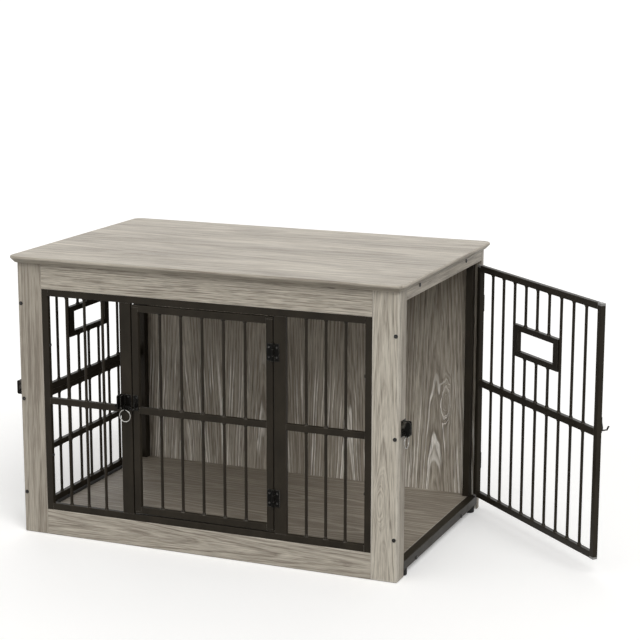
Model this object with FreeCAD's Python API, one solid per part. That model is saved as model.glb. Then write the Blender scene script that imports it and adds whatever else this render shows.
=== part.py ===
import FreeCAD, Part
import os

# Pet crate that doubles as a side table: a wooden carcass, a barred metal front with a door,
# and a barred metal door on each side. X runs to the right, Y to the back and Z up.
# The origin is the middle of the underside of the front bottom rail. Lengths are millimetres.

Vector = FreeCAD.Vector
origin = Vector(0, 0, 0)
right = Vector(1, 0, 0)
back = Vector(0, 1, 0)
up = Vector(0, 0, 1)
quarter_turn = 90.0

# Wooden carcass
body_width = 940.0
body_depth = 590.0
body_height = 650.0
board_thickness = 15.0
board_edge_radius = 1.5
top_thickness = 16.0
top_side_overhang = 14.0
top_front_overhang = 20.0
top_back_overhang = 20.0
top_corner_radius = 20.0
top_edge_radius = 3.0
top_under_chamfer = 10.0
stile_width = 62.0
stile_corner_radius = 3.0
front_top_rail_height = 60.0
front_bottom_rail_height = 61.0
side_stile_width = 30.0
side_rail_height = 27.0
floor_thickness = 12.0
floor_gap = 0.5
batten_width = 40.0
floor_batten_thickness = 10.0
batten_place_shares = (0.217, 0.768)
dowel_radius = 4.0
dowel_half_length = 18.0
dowel_place_shares = (0.25, 0.75)

# Base rails and feet
base_rail_width = 20.0
base_rail_height = 22.0
base_plug_length = 8.0
base_spigot_radius = 4.0
base_spigot_length = 9.0
foot_height = 13.0
foot_radius = 12.0
foot_edge_radius = 2.0
foot_front_gap = 2.0
foot_back_gap = 18.0
foot_stem_radius = 4.0
foot_stem_height = 8.0

# Rear corner posts
rear_post_width = 17.0
rear_post_depth = 20.0
rear_post_screw_level_shares = (0.1, 0.5, 0.9)

# Square tube, bars and end plugs shared by the front panel and the doors
tube_depth = 12.0
tube_wall = 1.5
tube_corner_radius = 1.5
bar_radius = 3.4
plug_cap = 5.0
plug_depth = 10.0

# Front panel
front_recess = 1.0
panel_tube = 16.0
jamb_width = 28.5
front_opening = 355.0
panel_bar_count = 3
panel_screw_shares = (0.25, 0.75)

# Doors
door_gap = 3.0
side_door_top_gap = 8.0
front_door_tube = 16.0
front_door_mid_rail = 15.0
front_door_bar_count = 5
side_door_tube = 15.0
side_door_mid_rail = 16.5
side_door_bar_count = 9
right_door_open_angle = 48.0

# Window in each side door, and the extra rails of the left door
window_bar_count = 3
window_height = 75.0
window_side = 20.0
window_rail = 13.5
window_depth = 10.0
window_level_share = 0.741
double_rail = 14.0
kick_rail = 14.0
kick_rail_level_share = 0.245

# Butt hinges
hinge_level_shares = (0.16, 0.84)
hinge_height = 40.0
leaf_width = 15.0
leaf_thickness = 1.5
knuckle_radius = 3.5
knuckle_gap = 0.3
middle_knuckle_share = 0.35
pin_radius = 1.5
pin_head_radius = 2.4
pin_head_height = 1.2
leaf_screw_spread_share = 0.28

# Slide latches
latch_above_mid_rail = 18.0
latch_height = 36.0
latch_plate_length = 27.0
latch_plate_setback = 1.0
latch_plate_thickness = 1.5
latch_ear_thickness = 2.0
latch_ear_reach = 21.0
latch_ear_corner_radius = 4.0
latch_ear_spacing = 9.0
latch_screw_spread_share = 0.72
latch_screw_place_shares = (0.22, 0.72)
bolt_radius = 3.0
bolt_reach = 8.0
bolt_drop = 9.0
bolt_skirt = 6.0
bolt_tip = 1.5
bolt_travel = 8.5
bolt_end_margin = 1.5
lug_thickness = 2.5
lug_setback = 14.0
lug_hole_drop = 8.5
lug_rim = 1.9
ring_radius = 13.75
ring_wire_radius = 1.25
catch_setback = 1.0
catch_plate_length = 13.0
catch_hook_setback = 1.0
catch_hook_width = 5.0
catch_hook_thickness = 2.0
catch_hook_reach = 22.0
catch_hook_lip = 5.5
catch_hook_rise = 9.0
catch_gusset_height = 25.0
catch_screw_place_share = 0.77

# Screws
carcass_screw = {"head_radius": 4.5, "head_height": 2.0, "shank_radius": 2.2, "shank_length": 35.0}
batten_screw = {"head_radius": 3.5, "head_height": 1.8, "shank_radius": 1.8, "shank_length": 23.0}
hardware_screw = {"head_radius": 2.6, "head_height": 1.2, "shank_radius": 1.3, "shank_length": 9.0}
head_round_share = 0.6
stile_screw_level_shares = (0.15, 0.5, 0.85)
batten_screw_place_share = 0.32
floor_screw_place_share = 0.32

# Clearances
running_clearance = 0.05
loose_clearance = 0.4
hole_clearance = 0.1
cut_overrun = 1.0

# Places that several pieces share
half_width = body_width / 2
front_face = -board_thickness / 2
front_back_face = board_thickness / 2
back_face = front_face + body_depth
back_panel_front = back_face - board_thickness
side_opening_start = front_back_face + side_stile_width
side_opening = back_panel_front - side_opening_start
side_board_middle = half_width - board_thickness / 2
front_opening_bottom = front_bottom_rail_height
front_opening_top = body_height - front_top_rail_height
front_opening_half = half_width - stile_width
panel_face = front_face + front_recess
base_rail_top = foot_height + base_rail_height
side_rail_bottom = body_height - side_rail_height
floor_bottom = foot_height + floor_batten_thickness
floor_top = floor_bottom + floor_thickness
batten_middles = [front_face + share * body_depth for share in batten_place_shares]
top_batten_bottom = body_height - board_thickness
bolt_tail = latch_plate_setback + latch_plate_length + bolt_travel + bolt_end_margin

parts = {}
holes = {}


def add(node, solids):
    parts.setdefault(node, []).extend(solids)


def drill(node, tools):
    holes.setdefault(node, []).extend(tools)


def block(x, y, z):
    return Part.makeBox(x[1] - x[0], y[1] - y[0], z[1] - z[0], Vector(x[0], y[0], z[0]))


def board(x, y, z):
    plain = block(x, y, z)
    return plain.makeFillet(board_edge_radius, plain.Edges)


def edges_along(solid, direction):
    chosen = []
    for edge in solid.Edges:
        run = edge.Vertexes[-1].Point - edge.Vertexes[0].Point
        if abs(run.dot(direction)) > edge.Length / 2:
            chosen.append(edge)
    return chosen


def tube(x, y, z, direction):
    outside = block(x, y, z)
    outside = outside.makeFillet(tube_corner_radius, edges_along(outside, direction))
    inside = []
    for part_of_direction, (low, high) in zip(direction, (x, y, z)):
        if part_of_direction:
            inside.append((low - cut_overrun, high + cut_overrun))
        else:
            inside.append((low + tube_wall, high - tube_wall))
    return outside.cut(block(*inside))


def around(middle, size):
    return (middle - size / 2, middle + size / 2)


def both_sides(span):
    return [span, (-span[1], -span[0])]


def cylinder(start, direction, length, radius):
    return Part.makeCylinder(radius, length, start, direction)


def joined(solids):
    return solids[0].fuse(solids[1:]).removeSplitter()


def screw(kind, seat, inward):
    head_start = seat - inward * kind["head_height"]
    head = cylinder(head_start, inward, kind["head_height"], kind["head_radius"])
    crown = [edge for edge in head.Edges if edge.CenterOfMass.isEqual(head_start, hole_clearance)]
    head = head.makeFillet(kind["head_height"] * head_round_share, crown)
    return joined([head, cylinder(seat, inward, kind["shank_length"], kind["shank_radius"])])


def screw_hole(kind, seat, inward):
    start = seat - inward * cut_overrun
    depth = cut_overrun + kind["shank_length"] + hole_clearance
    return cylinder(start, inward, depth, kind["shank_radius"] + hole_clearance)


def fasten(group, kind, places, inward, nodes):
    add(group, [screw(kind, seat, inward) for seat in places])
    for node in nodes:
        drill(node, [screw_hole(kind, seat, inward) for seat in places])


def carved(solid, tools):
    for tool in tools:
        if solid.BoundBox.intersect(tool.BoundBox):
            solid = solid.cut(tool)
    return solid.Solids


def bars_between(span, depth_middle, count, rails_at):
    pitch = (span[1] - span[0]) / (count + 1)
    bars = []
    for number in range(1, count + 1):
        place = span[0] + number * pitch
        rails = sorted(rails_at(number))
        for lower, upper in zip(rails, rails[1:]):
            length = upper[0] - lower[1]
            if length > bar_radius:
                start = Vector(place, depth_middle, lower[1])
                bars.append(cylinder(start, up, length, bar_radius))
    return bars


def stile(x, y, z, outer_side):
    plain = block(x, y, z)
    near = stile_corner_radius + hole_clearance

    def on_outer_corner(edge):
        middle = edge.BoundBox.Center
        return abs(middle.x - outer_side) < near and abs(middle.y - y[0]) < near

    corner = [edge for edge in edges_along(plain, up) if on_outer_corner(edge)]
    plain = plain.makeFillet(stile_corner_radius, corner)
    upright = edges_along(plain, up)
    rest = [edge for edge in plain.Edges if not any(edge.isSame(other) for other in upright)]
    rest += [edge for edge in upright if not on_outer_corner(edge)]
    return plain.makeFillet(board_edge_radius, rest)


def rim_at(slab, level):
    rim = []
    for edge in slab.Edges:
        span = edge.BoundBox
        if abs(span.ZMin - level) < hole_clearance and abs(span.ZMax - level) < hole_clearance:
            rim.append(edge)
    return rim


def build_top():
    across = (-half_width - top_side_overhang, half_width + top_side_overhang)
    deep = (front_face - top_front_overhang, back_face + top_back_overhang)
    slab = block(across, deep, (body_height, body_height + top_thickness))
    slab = slab.makeFillet(top_corner_radius, edges_along(slab, up))
    slab = slab.makeChamfer(top_under_chamfer, rim_at(slab, body_height))
    add("top_board", [slab.makeFillet(top_edge_radius, rim_at(slab, body_height + top_thickness))])


def build_front_boards():
    deep = (front_face, front_back_face)
    full = (0, body_height)
    between = (-front_opening_half, front_opening_half)
    add("front_right_stile", [stile((front_opening_half, half_width), deep, full, half_width)])
    add("front_left_stile", [stile((-half_width, -front_opening_half), deep, full, -half_width)])
    add("front_top_rail", [board(between, deep, (front_opening_top, body_height))])
    add("front_bottom_rail", [board(between, deep, (0, front_opening_bottom))])
    levels = [share * front_bottom_rail_height for share in dowel_place_shares]
    build_rail_dowels("front_bottom_rail", levels)
    levels = [front_opening_top + share * front_top_rail_height for share in dowel_place_shares]
    build_rail_dowels("front_top_rail", levels)


def build_rail_dowels(rail, levels):
    for side, stile in ((1, "front_right_stile"), (-1, "front_left_stile")):
        for level in levels:
            add_dowel(Vector(side * front_opening_half, 0, level), right, (rail, stile))


def add_dowel(middle, direction, nodes):
    start = middle - direction * dowel_half_length
    add("dowels", [cylinder(start, direction, 2 * dowel_half_length, dowel_radius)])
    reach = dowel_half_length + hole_clearance
    tool = cylinder(middle - direction * reach, direction, 2 * reach, dowel_radius + hole_clearance)
    for node in nodes:
        drill(node, [tool])


def build_side_boards():
    inner = half_width - board_thickness
    for side, name in ((1, "right"), (-1, "left")):
        across = (inner, half_width) if side > 0 else (-half_width, -inner)
        stile = name + "_side_stile"
        rail = name + "_top_rail"
        deep = (front_back_face, side_opening_start)
        add(stile, [board(across, deep, (0, body_height))])
        deep = (side_opening_start, back_panel_front)
        add(rail, [board(across, deep, (side_rail_bottom, body_height))])
        level = body_height - side_rail_height / 2
        add_dowel(Vector(side * side_board_middle, side_opening_start, level), back, (stile, rail))
        seats = [Vector(side * side_board_middle, back_face, level)]
        fasten("back_panel_screws", carcass_screw, seats, -back, ("back_panel", rail))
        levels = [share * body_height for share in stile_screw_level_shares]
        seats = [Vector(side * side_board_middle, front_face, level) for level in levels]
        fasten("stile_screws", carcass_screw, seats, back, ("front_" + name + "_stile", stile))


def build_back_and_floor():
    deep = (back_panel_front, back_face)
    add("back_panel", [block((-half_width, half_width), deep, (0, body_height))])
    floor_half = half_width - base_rail_width - floor_gap
    deep = (front_back_face + floor_gap, back_panel_front)
    add("floor_panel", [block((-floor_half, floor_half), deep, (floor_bottom, floor_top))])
    level = (floor_bottom + floor_top) / 2
    place = floor_screw_place_share * body_width
    seats = [Vector(x, back_face, level) for x in (-place, place)]
    fasten("back_panel_screws", carcass_screw, seats, -back, ("back_panel", "floor_panel"))


def build_rear_posts():
    outer = half_width - board_thickness
    deep = (back_panel_front - rear_post_depth, back_panel_front)
    tall = (max(base_rail_top, floor_top), body_height)
    levels = [tall[0] + share * (tall[1] - tall[0]) for share in rear_post_screw_level_shares]
    for across in both_sides((outer - rear_post_width, outer)):
        add("rear_posts", [tube(across, deep, tall, up)])
        seats = [Vector((across[0] + across[1]) / 2, back_face, level) for level in levels]
        fasten("post_screws", batten_screw, seats, -back, ("back_panel", "rear_posts"))


def build_battens():
    top_half = half_width - board_thickness
    floor_half = half_width - base_rail_width
    for middle in batten_middles:
        deep = around(middle, batten_width)
        add("top_battens", [block((-top_half, top_half), deep, (top_batten_bottom, body_height))])
        add("floor_battens", [block((-floor_half, floor_half), deep, (foot_height, floor_bottom))])
        place = batten_screw_place_share * body_width
        seats = [Vector(x, middle, top_batten_bottom) for x in (-place, place)]
        fasten("batten_screws", batten_screw, seats, up, ("top_battens", "top_board"))
        seats = [Vector(x, middle, foot_height) for x in (-place, place)]
        fasten("batten_screws", batten_screw, seats, up, ("floor_battens", "floor_panel"))
        for side, name in ((1, "right"), (-1, "left")):
            inward = right * -side
            seats = [Vector(side * half_width, middle, top_batten_bottom + board_thickness / 2)]
            fasten("side_rail_screws", carcass_screw, seats, inward, (name + "_top_rail", "top_battens"))
            seats = [Vector(side * half_width, middle, foot_height + floor_batten_thickness / 2)]
            fasten("base_rail_screws", carcass_screw, seats, inward, (name + "_base_rail", "floor_battens"))


def build_base_rails():
    middle = half_width - base_rail_width / 2
    level = foot_height + base_rail_height / 2
    ends = (side_opening_start, back_panel_front)
    for side, name in ((1, "right"), (-1, "left")):
        rail = name + "_base_rail"
        add(rail, [tube(around(side * middle, base_rail_width), ends, (foot_height, base_rail_top), back)])
        for end, inward, neighbour in ((ends[0], back, name + "_side_stile"), (ends[1], -back, "back_panel")):
            centre = Vector(side * middle, end, level)
            add("base_rail_plugs", [base_plug(centre, inward)])
            start = centre + inward * cut_overrun
            depth = cut_overrun + base_spigot_length + hole_clearance
            drill(neighbour, [cylinder(start, -inward, depth, base_spigot_radius + hole_clearance)])
        inset = base_plug_length + foot_stem_radius
        for place in (ends[0] + inset + foot_front_gap, ends[1] - inset - foot_back_gap):
            add_foot(Vector(side * middle, place, 0), rail)


def base_plug(centre, inward):
    across = around(centre.x, base_rail_width - 2 * tube_wall - 2 * hole_clearance)
    tall = around(centre.z, base_rail_height - 2 * tube_wall - 2 * hole_clearance)
    ends = sorted((centre.y, centre.y + inward.y * base_plug_length))
    spigot = cylinder(centre, -inward, base_spigot_length, base_spigot_radius)
    return joined([block(across, ends, tall), spigot])


def add_foot(place, rail):
    disc = cylinder(place, up, foot_height, foot_radius)
    rim = [edge for edge in disc.Edges if edge.BoundBox.ZMax < foot_edge_radius]
    disc = disc.makeFillet(foot_edge_radius, rim)
    stem_start = place + up * foot_height
    add("feet", [joined([disc, cylinder(stem_start, up, foot_stem_height, foot_stem_radius)])])
    tool_start = stem_start - up * cut_overrun
    drill(rail, [cylinder(tool_start, up, foot_stem_height, foot_stem_radius + hole_clearance)])


def build_front_panel():
    deep = (panel_face, panel_face + tube_depth)
    tall = (front_opening_bottom, front_opening_top)
    inner = front_opening_half - panel_tube
    inside = (tall[0] + panel_tube, tall[1] - panel_tube)
    jamb = (front_opening / 2, front_opening / 2 + jamb_width)
    mid = around((inside[0] + inside[1]) / 2, front_door_mid_rail)
    rails = [(tall[0], inside[0]), mid, (inside[1], tall[1])]
    tubes = []
    for span in both_sides((inner, front_opening_half)):
        tubes.append(tube(span, deep, tall, up))
    for span in both_sides(jamb):
        tubes.append(tube(span, deep, inside, up))
    for level in (rails[0], rails[-1]):
        tubes.append(tube((-inner, inner), deep, level, right))
    bars = []
    for span in both_sides((jamb[1], inner)):
        tubes.append(tube(span, deep, mid, right))
        bars += bars_between(span, panel_face + tube_depth / 2, panel_bar_count, lambda number: rails)
    add("front_panel_frame", tubes)
    add("front_panel_bars", bars)
    for side, name in ((1, "right"), (-1, "left")):
        levels = [tall[0] + share * (tall[1] - tall[0]) for share in panel_screw_shares]
        seats = [Vector(side * inner, panel_face + tube_depth / 2, level) for level in levels]
        nodes = ("front_panel_frame", "front_" + name + "_stile")
        fasten("front_panel_screws", carcass_screw, seats, right * side, nodes)


# Each door bay is drawn in its own frame: x runs from the latch jamb to the hinge jamb,
# y into the crate from the outer face of the door, and z up from the floor.
def stile_plug(span, end, inward):
    reach = tube_wall + hole_clearance
    cap = (end, end + inward * plug_cap)
    stem = (cap[1], cap[1] + inward * plug_depth)
    across = (span[0] + reach, span[1] - reach)
    deep = (reach, tube_depth - reach)
    head = block(span, (0, tube_depth), sorted(cap))
    head = head.makeFillet(tube_corner_radius, edges_along(head, up))
    return joined([head, block(across, deep, sorted(stem))])


def door_rails(bay):
    bottom, top = bay["bottom"], bay["top"]
    mid = around((bottom + top) / 2, bay["mid_rail"])
    rails = [(bottom, bottom + bay["tube"]), mid, (top - bay["tube"], top)]
    if bay["extra_rails"]:
        rails.append((mid[0] - double_rail, mid[0]))
        rails.append(around(bottom + kick_rail_level_share * (top - bottom), kick_rail))
    return rails


def build_door(bay):
    edges = (door_gap, bay["opening"] - door_gap)
    inner = (edges[0] + bay["tube"], edges[1] - bay["tube"])
    bottom, top = bay["bottom"], bay["top"]
    deep = (0, tube_depth)
    rails = door_rails(bay)
    door = {"frame": [], "plugs": [], "bars": [], "window": []}
    for span in ((edges[0], inner[0]), (inner[1], edges[1])):
        door["frame"].append(tube(span, deep, (bottom + plug_cap, top - plug_cap), up))
        door["plugs"].append(stile_plug(span, bottom, 1))
        door["plugs"].append(stile_plug(span, top, -1))
    for level in rails:
        door["frame"].append(tube(inner, deep, level, right))
    window = around(bottom + window_level_share * (top - bottom), window_height)
    first_bar = (bay["bar_count"] - window_bar_count) // 2
    last_bar = first_bar + window_bar_count + 1

    def rails_at(number):
        if bay["window"] and first_bar < number < last_bar:
            return rails + [window]
        return rails

    door["bars"] = bars_between(inner, tube_depth / 2, bay["bar_count"], rails_at)
    if bay["window"]:
        pitch = (inner[1] - inner[0]) / (bay["bar_count"] + 1)
        door["window"] = build_window(inner[0] + first_bar * pitch, inner[0] + last_bar * pitch, window)
    return door


def build_window(first_bar_middle, last_bar_middle, tall):
    room = bar_radius + hole_clearance
    left_end = first_bar_middle + room
    right_end = last_bar_middle - room
    deep = around(tube_depth / 2, window_depth)
    sides = ((left_end, left_end + window_side), (right_end - window_side, right_end))
    pieces = [block(span, deep, tall) for span in sides]
    for level in ((tall[0], tall[0] + window_rail), (tall[1] - window_rail, tall[1])):
        pieces.append(block((sides[0][1], sides[1][0]), deep, level))
    return pieces


def hinge_axis(bay):
    return Vector(bay["opening"] - door_gap / 2, -knuckle_radius, 0)


def hinge_leaf(axis, side, bottom, knuckles):
    root = axis.x + side * (knuckle_radius + loose_clearance)
    tip = axis.x + side * leaf_width
    deep = (-leaf_thickness, 0)
    pieces = [block(sorted((root, tip)), deep, (bottom, bottom + hinge_height))]
    for low, high in knuckles:
        pieces.append(block(sorted((axis.x, root)), deep, (low, high)))
        pieces.append(cylinder(Vector(axis.x, axis.y, low), up, high - low, knuckle_radius))
    bore_start = Vector(axis.x, axis.y, bottom - cut_overrun)
    bore_length = hinge_height + 2 * cut_overrun
    bore = cylinder(bore_start, up, bore_length, pin_radius + running_clearance)
    return joined(pieces).cut(bore)


def build_hinges(bay):
    axis = hinge_axis(bay)
    leaf_middle = (knuckle_radius + loose_clearance + leaf_width) / 2
    hinges = {"frame_leaves": [], "door_leaves": [], "pins": [], "frame_seats": [], "door_seats": []}
    for share in hinge_level_shares:
        centre = bay["bottom"] + share * (bay["top"] - bay["bottom"])
        bottom, top = around(centre, hinge_height)
        middle = around(centre, hinge_height * middle_knuckle_share)
        outer = ((bottom, middle[0] - knuckle_gap), (middle[1] + knuckle_gap, top))
        hinges["frame_leaves"].append(hinge_leaf(axis, 1, bottom, outer))
        hinges["door_leaves"].append(hinge_leaf(axis, -1, bottom, [middle]))
        pin = cylinder(Vector(axis.x, axis.y, bottom), up, hinge_height, pin_radius)
        head = cylinder(Vector(axis.x, axis.y, top), up, pin_head_height, pin_head_radius)
        hinges["pins"].append(joined([pin, head]))
        for level in around(centre, 2 * leaf_screw_spread_share * hinge_height):
            hinges["frame_seats"].append(Vector(axis.x + leaf_middle, -leaf_thickness, level))
            hinges["door_seats"].append(Vector(axis.x - leaf_middle, -leaf_thickness, level))
    return hinges


def latch_level(bay):
    return (bay["bottom"] + bay["top"]) / 2 + latch_above_mid_rail


def latch_ear(start, plate_top, bolt_level):
    across = (start, start + latch_ear_thickness)
    deep = (-latch_ear_reach, -latch_plate_thickness)
    ear = block(across, deep, (bolt_level - bolt_skirt, plate_top))
    free_corners = [edge for edge in edges_along(ear, right) if edge.BoundBox.YMax < -bolt_reach]
    ear = ear.makeFillet(latch_ear_corner_radius, free_corners)
    bore_start = Vector(start - cut_overrun, -bolt_reach, bolt_level)
    bore_length = latch_ear_thickness + 2 * cut_overrun
    return ear.cut(cylinder(bore_start, right, bore_length, bolt_radius + running_clearance))


def prism(profile, across):
    corners = [Vector(across[0], -outward, level) for outward, level in profile]
    face = Part.Face(Part.makePolygon(corners + corners[:1]))
    return face.extrude(right * (across[1] - across[0]))


def latch_catch(tall, bolt_level):
    start = door_gap + catch_setback
    plate = block((start, start + catch_plate_length), (-latch_plate_thickness, 0), tall)
    across = (start + catch_hook_setback, start + catch_hook_setback + catch_hook_width)
    room = bolt_radius + loose_clearance
    floor = bolt_level - room
    under = floor - catch_hook_thickness
    rise = under + catch_hook_rise
    seat = latch_plate_thickness
    inner = bolt_reach - room
    outer = catch_hook_reach - catch_hook_lip
    tip = catch_hook_reach - catch_hook_thickness
    gusset = ((seat, under), (inner, under), (inner, rise), (seat, under + catch_gusset_height))
    base = ((inner, under), (outer, under), (outer, floor), (inner, floor))
    lip = ((outer, under), (catch_hook_reach, rise), (tip, rise), (outer, floor))
    return [plate] + [prism(profile, across) for profile in (gusset, base, lip)]


def build_latch(bay):
    level = latch_level(bay)
    bolt_level = level - bolt_drop
    tall = around(level, latch_height)
    plate_end = -latch_plate_setback
    plate_start = plate_end - latch_plate_length
    body = [block((plate_start, plate_end), (-latch_plate_thickness, 0), tall)]
    for start in (plate_start, plate_start + latch_ear_spacing):
        body.append(latch_ear(start, tall[1], bolt_level))
    screw_levels = around(level, latch_height * latch_screw_spread_share)
    plate_places = [plate_start + share * latch_plate_length for share in latch_screw_place_shares]
    catch_place = door_gap + catch_setback + catch_screw_place_share * catch_plate_length
    return {
        "body": body,
        "catch": latch_catch(tall, bolt_level),
        "bolt": latch_bolt(bolt_level),
        "ring": latch_ring(bolt_level),
        "body_seats": [Vector(x, -latch_plate_thickness, z) for x in plate_places for z in screw_levels],
        "catch_seats": [Vector(catch_place, -latch_plate_thickness, z) for z in screw_levels],
    }


def latch_bolt(level):
    bar = cylinder(Vector(-bolt_tail, -bolt_reach, level), right, bolt_tail + bolt_tip, bolt_radius)
    hole_radius = ring_wire_radius + loose_clearance
    lug_bottom = level - lug_hole_drop - hole_radius - lug_rim
    across = around(-lug_setback, lug_thickness)
    lug = block(across, around(-bolt_reach, 2 * bolt_radius), (lug_bottom, level))
    hole_start = Vector(across[0] - cut_overrun, -bolt_reach, level - lug_hole_drop)
    hole = cylinder(hole_start, right, lug_thickness + 2 * cut_overrun, hole_radius)
    return [bar, lug.cut([bar, hole])]


def latch_ring(level):
    centre = Vector(-lug_setback, -bolt_reach, level - lug_hole_drop - ring_radius)
    return Part.makeTorus(ring_radius, ring_wire_radius, centre, back)


def to_front(shape):
    moved = shape.copy()
    moved.translate(Vector(-front_opening / 2, panel_face, 0))
    return moved


def to_right_side(shape):
    moved = shape.copy()
    moved.rotate(origin, up, quarter_turn)
    moved.translate(Vector(half_width, side_opening_start, 0))
    return moved


def to_left_side(shape):
    return to_right_side(shape).mirror(origin, right)


def build_bay(name, bay, to_crate, open_angle, latch_carrier, hinge_carrier):
    door = build_door(bay)
    hinges = build_hinges(bay)
    latch = build_latch(bay)
    axis = hinge_axis(bay)

    def open_door(shape):
        turned = shape.copy()
        turned.rotate(axis, up, open_angle)
        return to_crate(turned)

    def door_screw(seat):
        return screw_hole(hardware_screw, seat, back)

    door_tools = [door_screw(seat) for seat in hinges["door_seats"] + latch["catch_seats"]]
    door["hinge_leaves"] = hinges["door_leaves"]
    door["catch"] = latch["catch"]
    door["screws"] = []
    for solids in (door["frame"], door["hinge_leaves"], door["catch"]):
        solids[:] = [piece for solid in solids for piece in carved(solid, door_tools)]
    for seat in hinges["door_seats"] + latch["catch_seats"]:
        door["screws"].append(screw(hardware_screw, seat, back))
    for kind, solids in door.items():
        if solids:
            add(name + "_door_" + kind, [open_door(solid) for solid in solids])

    hinge_tools = [door_screw(seat) for seat in hinges["frame_seats"]]
    latch_tools = [door_screw(seat) for seat in latch["body_seats"]]
    for leaf in hinges["frame_leaves"]:
        add("hinge_frame_leaves", [to_crate(piece) for piece in carved(leaf, hinge_tools)])
    add("hinge_pins", [to_crate(pin) for pin in hinges["pins"]])
    for solid in latch["body"]:
        add(name + "_latch_body", [to_crate(piece) for piece in carved(solid, latch_tools)])
    add(name + "_latch_bolt", [to_crate(solid) for solid in latch["bolt"]])
    add(name + "_latch_ring", [to_crate(latch["ring"])])
    for seat in hinges["frame_seats"] + latch["body_seats"]:
        add("hardware_screws", [to_crate(screw(hardware_screw, seat, back))])
    drill(hinge_carrier, [to_crate(tool) for tool in hinge_tools])
    drill(latch_carrier, [to_crate(tool) for tool in latch_tools])


def build_bays():
    front_bay = {
        "opening": front_opening,
        "bottom": front_opening_bottom + panel_tube + door_gap,
        "top": front_opening_top - panel_tube - door_gap,
        "tube": front_door_tube,
        "mid_rail": front_door_mid_rail,
        "bar_count": front_door_bar_count,
        "window": False,
        "extra_rails": False,
    }
    right_bay = {
        "opening": side_opening,
        "bottom": base_rail_top + door_gap,
        "top": side_rail_bottom - side_door_top_gap,
        "tube": side_door_tube,
        "mid_rail": side_door_mid_rail,
        "bar_count": side_door_bar_count,
        "window": True,
        "extra_rails": False,
    }
    left_bay = dict(right_bay, extra_rails=True)
    build_bay("front", front_bay, to_front, 0, "front_panel_frame", "front_panel_frame")
    build_bay("right", right_bay, to_right_side, right_door_open_angle, "right_side_stile", "back_panel")
    build_bay("left", left_bay, to_left_side, 0, "left_side_stile", "back_panel")


def write_parts():
    os.makedirs("parts", exist_ok=True)
    for node, solids in parts.items():
        pieces = []
        for solid in solids:
            pieces.extend(carved(solid, holes.get(node, [])))
        shape = pieces[0] if len(pieces) == 1 else Part.makeCompound(pieces)
        shape.exportStep("parts/" + node + ".step")
        print(node, len(pieces), "solids", round(shape.Volume), "mm3", shape.isValid())


build_top()
build_front_boards()
build_side_boards()
build_back_and_floor()
build_rear_posts()
build_battens()
build_base_rails()
build_front_panel()
build_bays()
write_parts()
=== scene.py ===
import math
import bmesh
import bpy
from mathutils import Matrix, Vector


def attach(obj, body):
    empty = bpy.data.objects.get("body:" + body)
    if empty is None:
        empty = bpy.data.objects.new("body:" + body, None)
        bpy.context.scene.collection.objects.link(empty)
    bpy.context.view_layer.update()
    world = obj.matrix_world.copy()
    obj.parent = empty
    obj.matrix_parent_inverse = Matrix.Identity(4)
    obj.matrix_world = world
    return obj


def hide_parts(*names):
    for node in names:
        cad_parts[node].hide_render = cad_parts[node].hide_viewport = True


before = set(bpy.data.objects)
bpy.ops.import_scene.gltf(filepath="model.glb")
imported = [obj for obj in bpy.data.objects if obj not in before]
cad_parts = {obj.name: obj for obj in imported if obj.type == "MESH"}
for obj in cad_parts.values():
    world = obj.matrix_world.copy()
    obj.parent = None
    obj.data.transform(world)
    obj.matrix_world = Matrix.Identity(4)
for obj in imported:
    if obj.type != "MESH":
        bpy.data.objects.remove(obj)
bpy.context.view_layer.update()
print("frame loaded:", len(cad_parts), "nodes")


# Small tools for working by hand

def nothingSelected():
    bpy.ops.object.select_all(action="DESELECT")


def workOn(piece):
    nothingSelected()
    piece.select_set(True)
    bpy.context.view_layer.objects.active = piece


def pick(piece, kind, test):
    bpy.ops.object.mode_set(mode="EDIT")
    bpy.ops.mesh.select_mode(type=kind)
    bpy.ops.mesh.select_all(action="DESELECT")
    shape = bmesh.from_edit_mesh(piece.data)
    for element in (shape.faces if kind == "FACE" else shape.edges):
        element.select_set(test(element))
    bmesh.update_edit_mesh(piece.data)


def backToObject():
    bpy.ops.object.mode_set(mode="OBJECT")


def settled(piece, name):
    workOn(piece)
    bpy.ops.object.transform_apply(location=True, rotation=True, scale=True)
    piece.name = name
    piece.data.name = name
    return piece


def copyAt(model, matrix):
    copy = model.copy()
    copy.data = model.data.copy()
    copy.data.transform(matrix)
    bpy.context.scene.collection.objects.link(copy)
    return copy


def joinedAs(copies, name):
    nothingSelected()
    for copy in copies:
        copy.select_set(True)
    bpy.context.view_layer.objects.active = copies[0]
    bpy.ops.object.join()
    return settled(bpy.context.view_layer.objects.active, name)


def islandsOf(node):
    # each solid of a node as its own list of points; the node's triangles are loose
    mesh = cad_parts[node].data
    places = [tuple(round(part, 6) for part in vertex.co) for vertex in mesh.vertices]
    leader = {place: place for place in places}

    def lead(place):
        while leader[place] != place:
            leader[place] = leader[leader[place]]
            place = leader[place]
        return place

    for polygon in mesh.polygons:
        corners = [lead(places[index]) for index in polygon.vertices]
        for corner in corners[1:]:
            leader[lead(corner)] = lead(corners[0])
    groups = {}
    for place in leader:
        groups.setdefault(lead(place), []).append(Vector(place))
    return list(groups.values())


def spanOf(points, axis):
    along = [point.dot(axis) for point in points]
    return min(along), max(along)


# Camera and light

cameraView = {
    "place": (1.75356, -3.54876, 1.38232),
    "turn": 22.488,
    "tilt": 11.908,
    "roll": 0.084,
    "lens": 101.994,
    "sensor": 36.0,
    "reach": 200.0,
}


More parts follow.
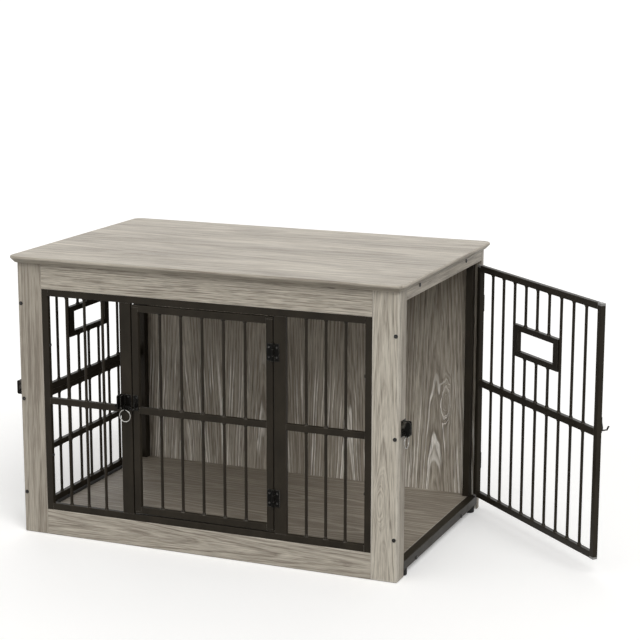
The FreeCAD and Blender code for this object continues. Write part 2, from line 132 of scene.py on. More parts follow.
def setCamera():
    data = bpy.data.cameras.new("photo_camera")
    data.lens = cameraView["lens"]
    data.sensor_width = cameraView["sensor"]
    data.clip_end = cameraView["reach"]
    camera = bpy.data.objects.new("photo_camera", data)
    turn = Matrix.Rotation(math.radians(cameraView["turn"]), 4, "Z")
    tilt = Matrix.Rotation(math.radians(90.0 - cameraView["tilt"]), 4, "X")
    roll = Matrix.Rotation(math.radians(cameraView["roll"]), 4, "Z")
    camera.matrix_world = Matrix.Translation(cameraView["place"]) @ turn @ tilt @ roll
    bpy.context.scene.collection.objects.link(camera)
    bpy.context.scene.camera = camera


studioLight = {
    "sky": (1.0, 0.985, 0.965, 1.0),
    "skyStrength": 0.45,
    "backdrop": (1.0, 1.0, 1.0, 1.0),
    "suns": (  # turn from the front towards the right, height, strength, softness
        (42.0, 46.0, 1.45, 40.0),
        (-34.0, 18.0, 0.55, 50.0),
        (200.0, 38.0, 0.40, 50.0),
    ),
}
studioFloor = {
    "size": 120.0,
    "drop": 0.0005,
    "seen": (1.0, 1.0, 0.995, 1.0),
    "bounce": (0.28, 0.275, 0.265, 1.0),
    "glow": 0.17,
}


def addNode(tree, kind, inputs=None, **settings):
    made = tree.nodes.new(kind)
    for setting, value in settings.items():
        setattr(made, setting, value)
    for socket, value in (inputs or {}).items():
        if isinstance(value, bpy.types.NodeSocket):
            tree.links.new(value, made.inputs[socket])
        else:
            made.inputs[socket].default_value = value
    return made


def seenDirectly(tree):
    path = addNode(tree, "ShaderNodeLightPath")
    either = addNode(tree, "ShaderNodeMath", {
        0: path.outputs["Is Camera Ray"], 1: path.outputs["Is Glossy Ray"]}, operation="MAXIMUM")
    return addNode(tree, "ShaderNodeMath", {
        0: either.outputs[0], 1: path.outputs["Is Transmission Ray"]}, operation="MAXIMUM").outputs[0]


def setLight():
    world = bpy.data.worlds.new("studio_sky")
    world.use_nodes = True
    tree = world.node_tree
    tree.nodes.clear()
    sky = addNode(tree, "ShaderNodeBackground", {
        "Color": studioLight["sky"], "Strength": studioLight["skyStrength"]})
    backdrop = addNode(tree, "ShaderNodeBackground", {"Color": studioLight["backdrop"], "Strength": 1.0})
    mixed = addNode(tree, "ShaderNodeMixShader", {
        0: seenDirectly(tree), 1: sky.outputs[0], 2: backdrop.outputs[0]})
    addNode(tree, "ShaderNodeOutputWorld", {0: mixed.outputs[0]})
    bpy.context.scene.world = world
    for number, (turn, height, strength, softness) in enumerate(studioLight["suns"]):
        data = bpy.data.lights.new("studio_sun_%d" % number, "SUN")
        data.energy = strength
        data.angle = math.radians(softness)
        lamp = bpy.data.objects.new(data.name, data)
        lamp.rotation_euler = (math.radians(90.0 - height), 0.0, math.radians(turn))
        bpy.context.scene.collection.objects.link(lamp)


def layFloor():
    nothingSelected()
    lowered = (0.0, 0.0, -studioFloor["drop"])
    bpy.ops.mesh.primitive_plane_add(size=studioFloor["size"], location=lowered)
    floor = bpy.context.object
    floor.name = "studio_floor"
    material = bpy.data.materials.new("studio_floor")
    material.use_nodes = True
    tree = material.node_tree
    tree.nodes.clear()
    seen = seenDirectly(tree)
    colour = addNode(tree, "ShaderNodeMix", {
        0: seen, 6: studioFloor["bounce"], 7: studioFloor["seen"]}, data_type="RGBA")
    matt = addNode(tree, "ShaderNodeBsdfDiffuse", {"Color": colour.outputs[2]})
    strength = addNode(tree, "ShaderNodeMath", {0: seen, 1: studioFloor["glow"]}, operation="MULTIPLY")
    glow = addNode(tree, "ShaderNodeEmission", {
        "Color": studioFloor["seen"], "Strength": strength.outputs[0]})
    lit = addNode(tree, "ShaderNodeAddShader", {0: matt.outputs[0], 1: glow.outputs[0]})
    addNode(tree, "ShaderNodeOutputMaterial", {"Surface": lit.outputs[0]})
    floor.data.materials.append(material)


setCamera()
setLight()
layFloor()
bpy.context.scene.view_settings.view_transform = "Standard"
print("camera, light and floor are set")


# Finishes

def startFinish(name):
    material = bpy.data.materials.new(name)
    material.use_nodes = True
    tree = material.node_tree
    return material, tree, tree.nodes["Principled BSDF"]


def grainNoise(tree, place, grain):
    scaled = addNode(tree, "ShaderNodeVectorMath", {0: place, 1: grain["stretch"]}, operation="MULTIPLY")
    noise = addNode(tree, "ShaderNodeTexNoise", {
        "Vector": scaled.outputs[0], "Scale": 1.0, "Detail": grain["detail"],
        "Roughness": grain.get("roughness", 0.5), "Distortion": 0.0})
    return noise.outputs[0]


def spread(tree, value, low, high, newLow=0.0, newHigh=1.0):
    inputs = {0: value, 1: low, 2: high, 3: newLow, 4: newHigh}
    return addNode(tree, "ShaderNodeMapRange", inputs).outputs[0]


def layer(tree, place, grain):
    # noise with its middle range opened out to 0 and 1
    return spread(tree, grainNoise(tree, place, grain), *grain["range"])


def maths(tree, operation, first, second=0.0, third=0.0):
    return addNode(tree, "ShaderNodeMath", {0: first, 1: second, 2: third}, operation=operation).outputs[0]


def centred(tree, place, grain):
    return maths(tree, "SUBTRACT", grainNoise(tree, place, grain), 0.5)


def blended(tree, factor, first, second):
    inputs = {0: factor, 6: first, 7: second}
    return addNode(tree, "ShaderNodeMix", inputs, data_type="RGBA", blend_type="MIX").outputs[2]


def ramp(tree, value, stops):
    made = addNode(tree, "ShaderNodeValToRGB", {0: value})
    elements = made.color_ramp.elements
    while len(elements) < len(stops):
        elements.new(1.0)
    for element, (position, colour) in zip(elements, stops):
        element.position = position
        element.color = colour
    return made.outputs[0]


# mask for the edges that are painted pale: wear and painted highlight
def wearAndHighlightEdges(tree, radius, low, high):
    # 1 where a corner turns within the radius, 0 on the flat
    rounded = addNode(tree, "ShaderNodeBevel", {"Radius": radius}, samples=4)
    flat = addNode(tree, "ShaderNodeNewGeometry")
    turned = addNode(tree, "ShaderNodeVectorMath", {
        0: rounded.outputs[0], 1: flat.outputs["True Normal"]}, operation="DOT_PRODUCT")
    return spread(tree, turned.outputs["Value"], high, low)


def addBump(tree, shader, relief, height, normal=None):
    inputs = {"Strength": relief[0], "Distance": relief[1], "Height": height}
    if normal:
        inputs["Normal"] = normal
    bump = addNode(tree, "ShaderNodeBump", inputs)
    tree.links.new(bump.outputs[0], shader.inputs["Normal"])


greyOak = {
    "glint": (0.930, 0.895, 0.830, 1.0),
    "pale": (0.640, 0.592, 0.502, 1.0),
    "middle": (0.456, 0.411, 0.342, 1.0),
    "dark": (0.250, 0.215, 0.172, 1.0),
    "pore": (0.125, 0.103, 0.081, 1.0),
    # pale edge colour: wear and a painted highlight where edges catch the light
    "wearAndHighlightColour": (0.780, 0.740, 0.670, 1.0),
    "stops": (0.18, 0.50, 0.84),  # tones of dark, middle and pale
    "roughness": (0.44, 0.62),
    "specular": 0.40,
    "edge": 0.0030,
    "edgeTurn": (0.80, 0.995),
    "rounding": 0.0030,
    "relief": (0.40, 0.0005),  # strength and height of the bump
    "fleckRelief": 0.45,
    "poreRoughness": 0.6,
    "roughnessReach": 1.5,
    "endTurn": 0.55,  # how far a face leans towards X before it counts as an end
}
oakGrain = {  # noise along the fibres, across and through, per metre
    "streak": {"stretch": (3.2, 100.0, 100.0), "detail": 4.0, "roughness": 0.6, "range": (0.32, 0.68)},
    "fleck": {"stretch": (13.0, 400.0, 400.0), "detail": 3.0, "roughness": 0.62, "range": (0.36, 0.64)},
    "cloud": {"stretch": (2.2, 11.0, 11.0), "detail": 2.0, "range": (0.32, 0.68)},
    "finePore": {"stretch": (30.0, 900.0, 900.0), "detail": 2.0, "range": (0.55, 0.68)},
    "broadPore": {"stretch": (12.0, 330.0, 330.0), "detail": 2.0, "range": (0.57, 0.70)},
    "glintPatch": {"stretch": (4.6, 26.0, 26.0), "detail": 2.0, "range": (0.43, 0.53)},
    "wander": {"stretch": (1.5, 7.0, 7.0), "detail": 2.0},
    "ripple": {"stretch": (7.0, 38.0, 38.0), "detail": 2.0},
    "knotEdge": {"stretch": (14.0, 40.0, 40.0), "detail": 2.0},
}
oakYears = {  # how the tone changes from ring to ring
    "line": (  # place within a year, brightness
        (0.0, 0.60), (0.12, 1.0), (0.52, 0.74), (0.88, 0.0), (1.0, 0.60),
    ),
    "clear": {"scale": 0.61, "detail": 1.0, "range": (0.36, 0.64, 0.20, 0.80)},
    "tone": {"scale": 1.70, "detail": 4.0, "range": (0.28, 0.72)},
    "glint": {"scale": 1.25, "detail": 2.0, "range": (0.54, 0.61)},
    "glintStart": 41.3,
    "roughness": 0.6,
    "rippleShare": 0.9,  # of a ring's width
    "earlyPores": (0.20, 0.85, 1.0, 0.40),  # pores fade from the dark to the pale part of a ring
    "knotLength": 0.30,  # a knot is drawn out along the fibres by the inverse of this
}
# axes run along the fibres, across the face and through the board; heart is where the rings are centred,
# across and through; a wide board repeats its heart at every plank; start slides the arches along; glints
# fade out between two places along; wrapped carries the face over the ends; a knot has a place along and
# across, a radius and a number of rings
woodBoards = {
    "top_board": {
        "axes": "XYZ", "heart": (0.12, 0.56), "plank": 0.21, "spacing": 0.0120, "taper": 0.035,
        "warp": 0.012, "shift": (3.1, 0.4, 7.7), "weights": (0.20, 0.28, 0.30), "tone": -0.10,
        "pores": 0.26, "wearAndHighlight": 0.30, "wrapped": True,
    },
    "front_top_rail": {
        "axes": "XZY", "heart": (0.70, 0.0), "spacing": 0.0060, "taper": 0.012, "warp": 0.005,
        "shift": (1.7, 5.2, 0.9), "weights": (0.30, 0.20, 0.54), "tone": 0.05, "pores": 0.85, "wearAndHighlight": 0.45,
    },
    "front_bottom_rail": {
        "axes": "XZY", "heart": (0.030, 0.016), "spacing": 0.0066, "taper": 0.040, "warp": 0.010,
        "shift": (8.3, 2.2, 4.1), "weights": (0.54, 0.14, 0.36), "tone": -0.07, "pores": 0.60, "wearAndHighlight": 0.35,
    },
    "front_left_stile": {
        "axes": "ZXY", "heart": (-0.40, 0.10), "spacing": 0.0070, "taper": 0.014, "warp": 0.006,
        "shift": (2.9, 9.1, 6.0), "weights": (0.26, 0.28, 0.28), "tone": -0.12, "pores": 0.40, "wearAndHighlight": 0.70,
    },
    # lighter tone and a wide pale edge band: painted highlight of the light from the right on this stile,
    # besides its wear
    "front_right_stile": {
        "axes": "ZXY", "heart": (0.437, 0.018), "spacing": 0.0066, "taper": 0.030, "warp": 0.012,
        "shift": (6.6, 3.3, 1.2), "weights": (0.62, 0.14, 0.40), "tone": 0.11, "pores": 0.70, "wearAndHighlight": 0.90,
        "edge": 0.0075, "knot": (0.185, 0.430, 0.024, 3.5),
    },
    "left_side_stile": {
        "axes": "ZYX", "heart": (0.02, -0.40), "spacing": 0.0068, "taper": 0.018, "warp": 0.008,
        "shift": (4.4, 7.0, 2.5), "weights": (0.32, 0.22, 0.28), "tone": -0.08, "pores": 0.42, "wearAndHighlight": 0.45,
    },
    "right_side_stile": {
        "axes": "ZYX", "heart": (0.02, 0.40), "spacing": 0.0068, "taper": 0.018, "warp": 0.008,
        "shift": (5.8, 1.6, 8.8), "weights": (0.32, 0.22, 0.32), "tone": -0.09, "pores": 0.42, "wearAndHighlight": 0.45,
    },
    "left_top_rail": {
        "axes": "YZX", "heart": (0.62, -0.40), "spacing": 0.0066, "taper": 0.020, "warp": 0.007,
        "shift": (9.7, 4.9, 3.6), "weights": (0.28, 0.22, 0.34), "tone": -0.04, "pores": 0.48, "wearAndHighlight": 0.45,
    },
    "right_top_rail": {
        "axes": "YZX", "heart": (0.62, 0.40), "spacing": 0.0066, "taper": 0.020, "warp": 0.007,
        "shift": (0.8, 6.3, 9.4), "weights": (0.28, 0.22, 0.34), "tone": -0.02, "pores": 0.48, "wearAndHighlight": 0.45,
    },
    "back_panel": {
        "axes": "ZXY", "heart": (0.362, 0.537), "plank": 0.235, "spacing": 0.0072, "taper": 0.045,
        "start": 0.115, "warp": 0.009, "shift": (7.2, 8.5, 5.5), "weights": (0.50, 0.36, 0.38),
        "tone": -0.14, "pores": 0.95, "wearAndHighlight": 0.45, "glints": (0.36, 0.27),
        "knot": (0.265, 0.388, 0.024, 3.5),
    },
    # much darker tone: painted shade over the floor inside the crate
    "floor_panel": {
        "axes": "XYZ", "heart": (0.20, -0.03), "plank": 0.19, "spacing": 0.0085, "taper": 0.040,
        "warp": 0.012, "shift": (1.1, 2.6, 3.9), "weights": (0.50, 0.24, 0.36), "tone": -0.31,
        "pores": 0.45, "wearAndHighlight": 0.35,
    },
    "top_battens": {
        "axes": "XYZ", "heart": (0.30, 0.58), "spacing": 0.0080, "taper": 0.024, "warp": 0.010,
        "shift": (6.1, 0.7, 2.3), "weights": (0.32, 0.26, 0.24), "tone": -0.14, "pores": 0.42, "wearAndHighlight": 0.45,
    },
    "floor_battens": {
        "axes": "XYZ", "heart": (0.30, 0.05), "spacing": 0.0080, "taper": 0.024, "warp": 0.010,
        "shift": (3.4, 9.9, 0.2), "weights": (0.32, 0.26, 0.24), "tone": -0.14, "pores": 0.42, "wearAndHighlight": 0.45,
    },
}


def grey(value):
    return (value, value, value, 1.0)


def ringPhase(tree, look, along, across, deep, moved):
    # growth rings round the heart, wandering along the board, cut by its face into arches
    side = maths(tree, "SUBTRACT", across, look["heart"][0])
    if "plank" in look:
        side = maths(tree, "ADD", side, look["plank"] / 2)
        side = maths(tree, "SUBTRACT", maths(tree, "PINGPONG", side, look["plank"]), look["plank"] / 2)
    depth = maths(tree, "SUBTRACT", deep, look["heart"][1])
    reach = lengthOf(tree, {1: side, 2: depth})
    reach = maths(tree, "MULTIPLY_ADD", centred(tree, moved, oakGrain["wander"]), look["warp"] * 2, reach)
    ripple = look["spacing"] * oakYears["rippleShare"]
    reach = maths(tree, "MULTIPLY_ADD", centred(tree, moved, oakGrain["ripple"]), ripple, reach)
    fromStart = maths(tree, "SUBTRACT", along, look.get("start", 0.0))
    reach = maths(tree, "MULTIPLY_ADD", fromStart, look["taper"], reach)
    if "knot" in look:
        reach = maths(tree, "SUBTRACT", reach, knotSwell(tree, look, along, across, moved))
    return maths(tree, "DIVIDE", reach, look["spacing"])


def lengthOf(tree, parts):
    joined = addNode(tree, "ShaderNodeCombineXYZ", parts).outputs[0]
    return addNode(tree, "ShaderNodeVectorMath", {0: joined}, operation="LENGTH").outputs["Value"]


def knotSwell(tree, look, along, across, moved):
    lengthwise, crosswise, size, rings = look["knot"]
    drawnOut = maths(tree, "MULTIPLY", maths(tree, "SUBTRACT", along, lengthwise), oakYears["knotLength"])
    away = lengthOf(tree, {0: drawnOut, 1: maths(tree, "SUBTRACT", across, crosswise)})
    away = maths(tree, "MULTIPLY_ADD", centred(tree, moved, oakGrain["knotEdge"]), size, away)
    inputs = {0: away, 1: size, 2: 0.0, 3: 0.0, 4: rings * look["spacing"]}
    return addNode(tree, "ShaderNodeMapRange", inputs, interpolation_type="SMOOTHSTEP").outputs[0]


def wrappedEnds(tree, place, apart):
    # the printed face folds over the two ends, where its lines run along Y
    normal = addNode(tree, "ShaderNodeNewGeometry").outputs["True Normal"]
    facing = addNode(tree, "ShaderNodeSeparateXYZ", {0: normal})
    leaning = maths(tree, "ABSOLUTE", facing.outputs["X"])
    onEnd = maths(tree, "GREATER_THAN", leaning, greyOak["endTurn"])
    turned = addNode(tree, "ShaderNodeCombineXYZ", {
        0: apart.outputs["Y"], 1: apart.outputs["Z"], 2: apart.outputs["X"]})
    mixed = addNode(tree, "ShaderNodeMix", {0: onEnd, 4: place, 5: turned.outputs[0]}, data_type="VECTOR")
    return addNode(tree, "ShaderNodeSeparateXYZ", {0: mixed.outputs[1]})


def yearNoise(tree, phase, year):
    made = addNode(tree, "ShaderNodeTexNoise", {
        "W": phase, "Scale": year["scale"], "Detail": year["detail"], "Roughness": oakYears["roughness"]},
        noise_dimensions="1D")
    return spread(tree, made.outputs[0], *year["range"])


def makeWood(name, look):
    material, tree, shader = startFinish(name)
    place = addNode(tree, "ShaderNodeTexCoord").outputs["Object"]
    apart = addNode(tree, "ShaderNodeSeparateXYZ", {0: place})
    if look.get("wrapped"):
        apart = wrappedEnds(tree, place, apart)
    along, across, deep = [apart.outputs[axis] for axis in look["axes"]]
    laid = addNode(tree, "ShaderNodeCombineXYZ", {0: along, 1: across, 2: deep}).outputs[0]
    moved = addNode(tree, "ShaderNodeVectorMath", {0: laid, 1: look["shift"]}, operation="ADD").outputs[0]

    phase = ringPhase(tree, look, along, across, deep, moved)
    shades = [(position, grey(brightness)) for position, brightness in oakYears["line"]]
    ringLine = ramp(tree, maths(tree, "FRACT", phase), shades)
    clear = yearNoise(tree, phase, oakYears["clear"])
    ringTone = blended(tree, clear, yearNoise(tree, phase, oakYears["tone"]), ringLine)

    figure, streaks, flecks = look["weights"]
    streak = layer(tree, moved, oakGrain["streak"])
    fleck = layer(tree, moved, oakGrain["fleck"])
    cloud = layer(tree, moved, oakGrain["cloud"])
    tone = maths(tree, "MULTIPLY_ADD", streak, streaks, look["tone"])
    tone = maths(tree, "MULTIPLY_ADD", fleck, flecks, tone)
    tone = maths(tree, "MULTIPLY_ADD", ringTone, figure, tone)
    tone = maths(tree, "MULTIPLY_ADD", cloud, 1.0 - figure - streaks - flecks, tone)
    colours = (greyOak["dark"], greyOak["middle"], greyOak["pale"])
    colour = ramp(tree, tone, list(zip(greyOak["stops"], colours)))
    if "glints" in look:
        bright = yearNoise(tree, maths(tree, "ADD", phase, oakYears["glintStart"]), oakYears["glint"])
        shine = maths(tree, "MULTIPLY", bright, layer(tree, moved, oakGrain["glintPatch"]))
        shine = maths(tree, "MULTIPLY", shine, spread(tree, along, *look["glints"]))
        colour = blended(tree, shine, colour, greyOak["glint"])

    fine = layer(tree, moved, oakGrain["finePore"])
    broad = layer(tree, moved, oakGrain["broadPore"])
    early = spread(tree, ringTone, *oakYears["earlyPores"])
    depth = maths(tree, "MULTIPLY", maths(tree, "MAXIMUM", fine, broad), early)
    colour = blended(tree, maths(tree, "MULTIPLY", depth, look["pores"]), colour, greyOak["pore"])
    # edges blended towards the pale edge colour: wear and painted highlight
    edges = wearAndHighlightEdges(tree, look.get("edge", greyOak["edge"]), *greyOak["edgeTurn"])
    colour = blended(tree, maths(tree, "MULTIPLY", edges, look["wearAndHighlight"]), colour, greyOak["wearAndHighlightColour"])
    tree.links.new(colour, shader.inputs["Base Color"])

    rough = maths(tree, "MULTIPLY_ADD", depth, greyOak["poreRoughness"], streak)
    rough = spread(tree, rough, 0.0, greyOak["roughnessReach"], *greyOak["roughness"])
    tree.links.new(rough, shader.inputs["Roughness"])
    shader.inputs["Specular IOR Level"].default_value = greyOak["specular"]
    raised = maths(tree, "MULTIPLY", fleck, greyOak["fleckRelief"])
    height = maths(tree, "MULTIPLY_ADD", depth, -1.0, raised)
    soft = addNode(tree, "ShaderNodeBevel", {"Radius": greyOak["rounding"]}, samples=6)
    addBump(tree, shader, greyOak["relief"], height, soft.outputs[0])
    return material


coatGrain = {  # shared by all the dark finishes
    "patch": {"stretch": (23.0, 23.0, 11.0), "detail": 4.0, "roughness": 0.6, "range": (0.32, 0.68)},
    "edgeBreakup": {"stretch": (160.0, 160.0, 160.0), "detail": 3.0, "roughness": 0.65, "range": (0.36, 0.60)},
    "speckleDetail": 2.0,
    "edgeTurn": (0.80, 0.99),
    "wearAndHighlight": 0.75,
    "gloss": (0.2, 0.8),
    "relief": (0.12, 0.0003),
}
powderCoat = {
    "colours": ((0.0150, 0.0116, 0.0072, 1.0), (0.0270, 0.0218, 0.0146, 1.0)),
    # pale edge colour: wear and painted highlight along the tube edges
    "wearAndHighlightColour": (0.240, 0.218, 0.190, 1.0),
    "roughness": (0.34, 0.48),
    "specular": 0.13,
    "grain": 1500.0,
    "edge": 0.0015,
}
blackOxide = {
    "colours": ((0.0026, 0.0024, 0.0020, 1.0), (0.0060, 0.0054, 0.0045, 1.0)),
    # pale edge colour: wear and painted glints along the hardware edges
    "wearAndHighlightColour": (0.300, 0.285, 0.260, 1.0),
    "roughness": (0.24, 0.38),
    "specular": 0.06,
    "grain": 2400.0,
    "edge": 0.0009,
}
screwSteel = {
    "colours": ((0.0040, 0.0036, 0.0030, 1.0), (0.0090, 0.0082, 0.0070, 1.0)),
    # pale rim colour: painted glints on the screw heads, and wear
    "wearAndHighlightColour": (0.460, 0.440, 0.410, 1.0),
    "roughness": (0.22, 0.34),
    "specular": 0.30,
    "grain": 2600.0,
    "edge": 0.0006,
}
footRubber = {
    "colours": ((0.0120, 0.0118, 0.0115, 1.0), (0.0200, 0.0195, 0.0190, 1.0)),
    "wearAndHighlightColour": (0.045, 0.044, 0.042, 1.0),
    "roughness": (0.55, 0.75),
    "specular": 0.25,
    "grain": 1100.0,
    "edge": 0.0012,
}
plugPlastic = {
    "colours": ((0.230, 0.227, 0.220, 1.0), (0.300, 0.296, 0.288, 1.0)),
    "wearAndHighlightColour": (0.420, 0.416, 0.405, 1.0),
    "roughness": (0.40, 0.52),
    "specular": 0.45,
    "grain": 1800.0,
    "edge": 0.0010,
}


def makeCoat(name, look):
    material, tree, shader = startFinish(name)
    place = addNode(tree, "ShaderNodeTexCoord").outputs["Object"]
    patch = layer(tree, place, coatGrain["patch"])
    speckle = grainNoise(tree, place, {"stretch": (look["grain"],) * 3, "detail": coatGrain["speckleDetail"]})
    edgeBreakup = layer(tree, place, coatGrain["edgeBreakup"])
    colour = blended(tree, patch, *look["colours"])
    # edges blended towards the pale edge colour: wear and painted highlight, broken up by noise
    wearAndHighlight = maths(tree, "MULTIPLY", wearAndHighlightEdges(tree, look["edge"], *coatGrain["edgeTurn"]), edgeBreakup)
    colour = blended(tree, maths(tree, "MULTIPLY", wearAndHighlight, coatGrain["wearAndHighlight"]), colour, look["wearAndHighlightColour"])
    tree.links.new(colour, shader.inputs["Base Color"])
    mixed = maths(tree, "MULTIPLY_ADD", speckle, 0.5, maths(tree, "MULTIPLY", patch, 0.5))
    rough = spread(tree, mixed, *coatGrain["gloss"], *look["roughness"])
    tree.links.new(rough, shader.inputs["Roughness"])
    shader.inputs["Specular IOR Level"].default_value = look["specular"]
    addBump(tree, shader, coatGrain["relief"], speckle)
    return material


brightSteel = {
    "colours": ((0.26, 0.25, 0.235, 1.0), (0.46, 0.45, 0.43, 1.0)),
    "roughness": (0.14, 0.30),
    "tarnish": {"stretch": (90.0, 90.0, 90.0), "detail": 4.0, "roughness": 0.6, "range": (0.3, 0.7)},
    "scratch": {"stretch": (900.0, 2600.0, 900.0), "detail": 2.0, "range": (0.35, 0.65)},
    "relief": (0.08, 0.0002),
}


def makeSteel(name, look):
    material, tree, shader = startFinish(name)
    place = addNode(tree, "ShaderNodeTexCoord").outputs["Object"]
    tarnish = layer(tree, place, look["tarnish"])
    scratch = layer(tree, place, look["scratch"])
    tree.links.new(blended(tree, tarnish, *look["colours"]), shader.inputs["Base Color"])
    mixed = maths(tree, "MULTIPLY_ADD", scratch, 0.5, maths(tree, "MULTIPLY", tarnish, 0.5))
    rough = spread(tree, mixed, 0.0, 1.0, *look["roughness"])
    tree.links.new(rough, shader.inputs["Roughness"])
    shader.inputs["Metallic"].default_value = 1.0
    addBump(tree, shader, look["relief"], scratch)
    return material


def dress(piece, material):
    if not piece.material_slots:
        piece.data.materials.append(material)
    for slot in piece.material_slots:
        slot.material = material


coat = makeCoat("black_powder_coat", powderCoat)
oxide = makeCoat("black_oxide_steel", blackOxide)
screwBlack = makeCoat("black_screw_steel", screwSteel)
rubber = makeCoat("foot_rubber", footRubber)
plastic = makeCoat("plug_plastic", plugPlastic)
steel = makeSteel("bright_steel", brightSteel)
for node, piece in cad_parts.items():
    if node in woodBoards:
        dress(piece, makeWood("oak_" + node, woodBoards[node]))
    elif node == "dowels":
        dress(piece, makeWood("oak_dowels", woodBoards["front_top_rail"]))
    elif node == "feet":
        dress(piece, rubber)
    elif node in ("left_door_plugs", "right_door_plugs"):
        dress(piece, plastic)
    elif node.endswith("_ring"):
        dress(piece, steel)
    elif node.endswith(("_screws", "_pins", "_leaves", "_catch", "_body", "_bolt")):
        dress(piece, oxide)
    else:
        dress(piece, coat)
print("finishes are on the CAD nodes")


# Weld beads where the bars meet the rails

weldBead = {
    "sides": 14,
    "steps": ((0.0058, 0.0), (0.0050, 0.0009), (0.0043, 0.0024), (0.0035, 0.0052)),  # radius, height
    "smooth": math.radians(50.0),
}
barGroups = {
    "front_panel_bars": ("front_panel_welds", "frame"),
    "front_door_bars": ("front_door_welds", "front_door"),
    "left_door_bars": ("left_door_welds", "left_door"),
    "right_door_bars": ("right_door_welds", "right_door"),
}


def modelWeldBead():
    nothingSelected()
    radius, height = weldBead["steps"][0]
    bpy.ops.mesh.primitive_circle_add(vertices=weldBead["sides"], radius=radius, fill_type="NGON")
    bead = bpy.context.object
    pick(bead, "FACE", lambda face: True)
    for nextRadius, nextHeight in weldBead["steps"][1:]:
        rise = (0.0, 0.0, nextHeight - height)
        bpy.ops.mesh.extrude_region_move(TRANSFORM_OT_translate={"value": rise})
        share = nextRadius / radius
        bpy.ops.transform.resize(value=(share, share, 1.0), center_override=(0.0, 0.0, nextHeight))
        radius, height = nextRadius, nextHeight
    bpy.ops.mesh.select_all(action="SELECT")
    bpy.ops.mesh.normals_make_consistent(inside=False)
    backToObject()
    bpy.ops.object.shade_smooth_by_angle(angle=weldBead["smooth"])
    return bead


def addWelds():
    bead = modelWeldBead()
    over = Matrix.Rotation(math.pi, 4, "X")
    for node, (name, body) in barGroups.items():
        copies = []
        for points in islandsOf(node):
            x, y = (sum(spanOf(points, Vector(axis))) / 2 for axis in ((1, 0, 0), (0, 1, 0)))
            bottom, top = spanOf(points, Vector((0, 0, 1)))
            copies.append(copyAt(bead, Matrix.Translation((x, y, bottom))))
            copies.append(copyAt(bead, Matrix.Translation((x, y, top)) @ over))
        piece = joinedAs(copies, name)
        dress(piece, coat)
        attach(piece, body)
    bpy.data.objects.remove(bead)


addWelds()
print("weld beads are in place")


# Screw heads with a cross recess

screwHead = {
    "sides": 28,
    "crown": 0.55,  # share of the height that is rounded
    "crownSteps": 4,
    "crossLength": 0.58,
    "crossWidth": 0.15,
    "crossDepth": 0.55,
    "upright": 0.9,  # how far a face or a screw leans towards Z before it counts as upright
    "nearEnd": 0.0025,
    "turn": math.radians(37.0),  # from one head to the next
    "smooth": math.radians(35.0),
}
carcassScrew = (0.0045, 0.0020)  # head radius and height
battenScrew = (0.0035, 0.0018)
hardwareScrew = (0.0026, 0.0012)
openTurn = math.radians(48.0)
rightDoorOut = (math.cos(openTurn), math.sin(openTurn), 0.0)
screwGroups = {  # node: body, kind, the ways that the screws may run
    "stile_screws": ("frame", carcassScrew, ((0, 1, 0),)),
    "side_rail_screws": ("frame", carcassScrew, ((1, 0, 0),)),
    "base_rail_screws": ("frame", carcassScrew, ((1, 0, 0),)),
    "back_panel_screws": ("frame", carcassScrew, ((0, 1, 0),)),
    "front_panel_screws": ("frame", carcassScrew, ((1, 0, 0),)),
    "batten_screws": ("frame", battenScrew, ((0, 0, 1),)),
    "post_screws": ("frame", battenScrew, ((0, 1, 0),)),
    "hardware_screws": ("frame", hardwareScrew, ((1, 0, 0), (0, 1, 0))),
    "front_door_screws": ("front_door", hardwareScrew, ((0, 1, 0),)),
    "left_door_screws": ("left_door", hardwareScrew, ((1, 0, 0),)),
    "right_door_screws": ("right_door", hardwareScrew, (rightDoorOut,)),
}


def modelScrewHead(radius, height):
    nothingSelected()
    bpy.ops.mesh.primitive_cylinder_add(vertices=screwHead["sides"], radius=radius, depth=height,
                                        location=(0.0, 0.0, height / 2))
    head = settled(bpy.context.object, "screw_head")
    pick(head, "FACE", lambda face: face.normal.z > screwHead["upright"])
    bpy.ops.mesh.bevel(offset=height * screwHead["crown"], segments=screwHead["crownSteps"], affect="EDGES")
    backToObject()
    depth = height * screwHead["crossDepth"]
    for turn in (0.0, math.pi / 2):
        nothingSelected()
        bpy.ops.mesh.primitive_cube_add(size=1.0, location=(0.0, 0.0, height))
        cutter = bpy.context.object
        length, width = screwHead["crossLength"], screwHead["crossWidth"]
        cutter.scale = (2 * radius * length, 2 * radius * width, 2 * depth)
        cutter.rotation_euler = (0.0, 0.0, turn)
        settled(cutter, "cross_cutter")
        workOn(head)
        cut = head.modifiers.new("cross", "BOOLEAN")
        cut.operation = "DIFFERENCE"
        cut.object = cutter
        cut.solver = "EXACT"
        bpy.ops.object.modifier_apply(modifier=cut.name)
        bpy.data.objects.remove(cutter)
    workOn(head)
    bpy.ops.object.shade_smooth_by_angle(angle=screwHead["smooth"])
    return head


def wideEnd(points, axis):
    # the end of a screw that has the larger radius points out of the surface
    low, high = spanOf(points, axis)
    reach = {}
    for sign, end in ((-1, low), (1, high)):
        near = [point for point in points if abs(point.dot(axis) - end) < screwHead["nearEnd"]]
        middle = sum(near, Vector()) / len(near)
        reach[sign] = max((point - middle).cross(axis).length for point in near)
    return 1 if reach[1] > reach[-1] else -1


def headPlace(points, ways, height):
    axis = max((Vector(way) for way in ways), key=lambda way: spanOf(points, way)[1] - spanOf(points, way)[0])
    out = axis * wideEnd(points, axis)
    sideways = Vector((0, 0, 1)) if abs(out.z) < screwHead["upright"] else Vector((1, 0, 0))
    middle = out * (spanOf(points, out)[1] - height)
    for way in (sideways, out.cross(sideways)):
        middle += way * (sum(spanOf(points, way)) / 2)
    return Matrix.Translation(middle) @ out.to_track_quat("Z", "Y").to_matrix().to_4x4()


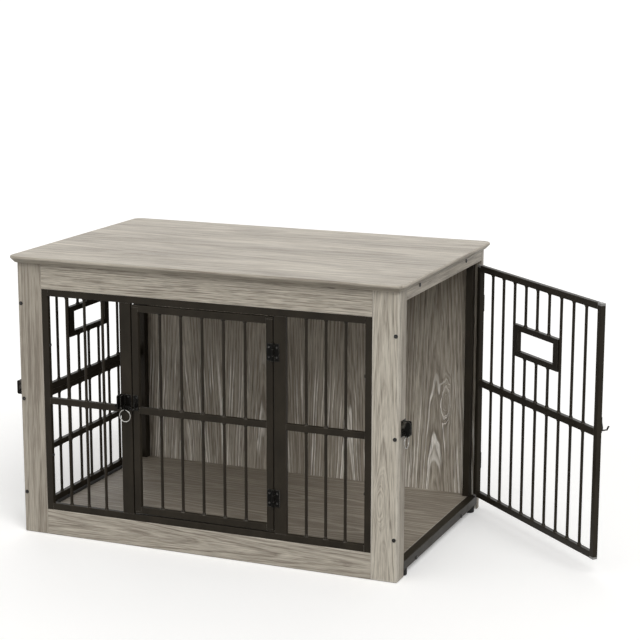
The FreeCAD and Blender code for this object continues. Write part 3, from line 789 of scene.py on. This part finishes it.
def addScrewHeads():
    for node, (body, (radius, height), ways) in screwGroups.items():
        head = modelScrewHead(radius, height)
        copies = []
        for points in islandsOf(node):
            turn = Matrix.Rotation(screwHead["turn"] * len(copies), 4, "Z")
            copies.append(copyAt(head, headPlace(points, ways, height) @ turn))
        bpy.data.objects.remove(head)
        piece = joinedAs(copies, node.replace("_screws", "_screw_heads"))
        dress(piece, screwBlack)
        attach(piece, body)
        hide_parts(node)


addScrewHeads()
print("screw heads are in place")


# Pressed hardware with softened edges

softened = {  # node: body, width of the soft edge
    "front_latch_body": ("frame", 0.0005),
    "left_latch_body": ("frame", 0.0005),
    "right_latch_body": ("frame", 0.0005),
    "front_latch_bolt": ("front_bolt", 0.0004),
    "left_latch_bolt": ("left_bolt", 0.0004),
    "right_latch_bolt": ("right_bolt", 0.0004),
    "front_door_catch": ("front_door", 0.0005),
    "left_door_catch": ("left_door", 0.0005),
    "right_door_catch": ("right_door", 0.0005),
    "hinge_frame_leaves": ("frame", 0.0004),
    "front_door_hinge_leaves": ("front_door", 0.0004),
    "left_door_hinge_leaves": ("left_door", 0.0004),
    "right_door_hinge_leaves": ("right_door", 0.0004),
}


softEdge = {
    "merge": 0.00001,
    "flat": math.radians(1.0),
    "corner": math.radians(50.0),
    "shortest": 4,  # edges of fewer widths than this stay sharp
    "steps": 2,
    "smooth": math.radians(40.0),
}


def softenedCopy(node, width):
    piece = bpy.data.objects.new(node + "_soft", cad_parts[node].data.copy())
    bpy.context.scene.collection.objects.link(piece)
    workOn(piece)
    bpy.ops.mesh.customdata_custom_splitnormals_clear()
    pick(piece, "FACE", lambda face: True)
    bpy.ops.mesh.remove_doubles(threshold=softEdge["merge"])
    bpy.ops.mesh.dissolve_limited(angle_limit=softEdge["flat"])
    backToObject()

    def straightCorner(edge):
        sharp = len(edge.link_faces) == 2 and edge.calc_face_angle() > softEdge["corner"]
        return sharp and edge.calc_length() > softEdge["shortest"] * width

    pick(piece, "EDGE", straightCorner)
    bpy.ops.mesh.bevel(offset=width, segments=softEdge["steps"], affect="EDGES", clamp_overlap=True)
    backToObject()
    bpy.ops.object.shade_smooth_by_angle(angle=softEdge["smooth"])
    return piece


for node, (body, width) in softened.items():
    piece = softenedCopy(node, width)
    dress(piece, oxide)
    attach(piece, body)
    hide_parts(node)
print("hardware is softened")
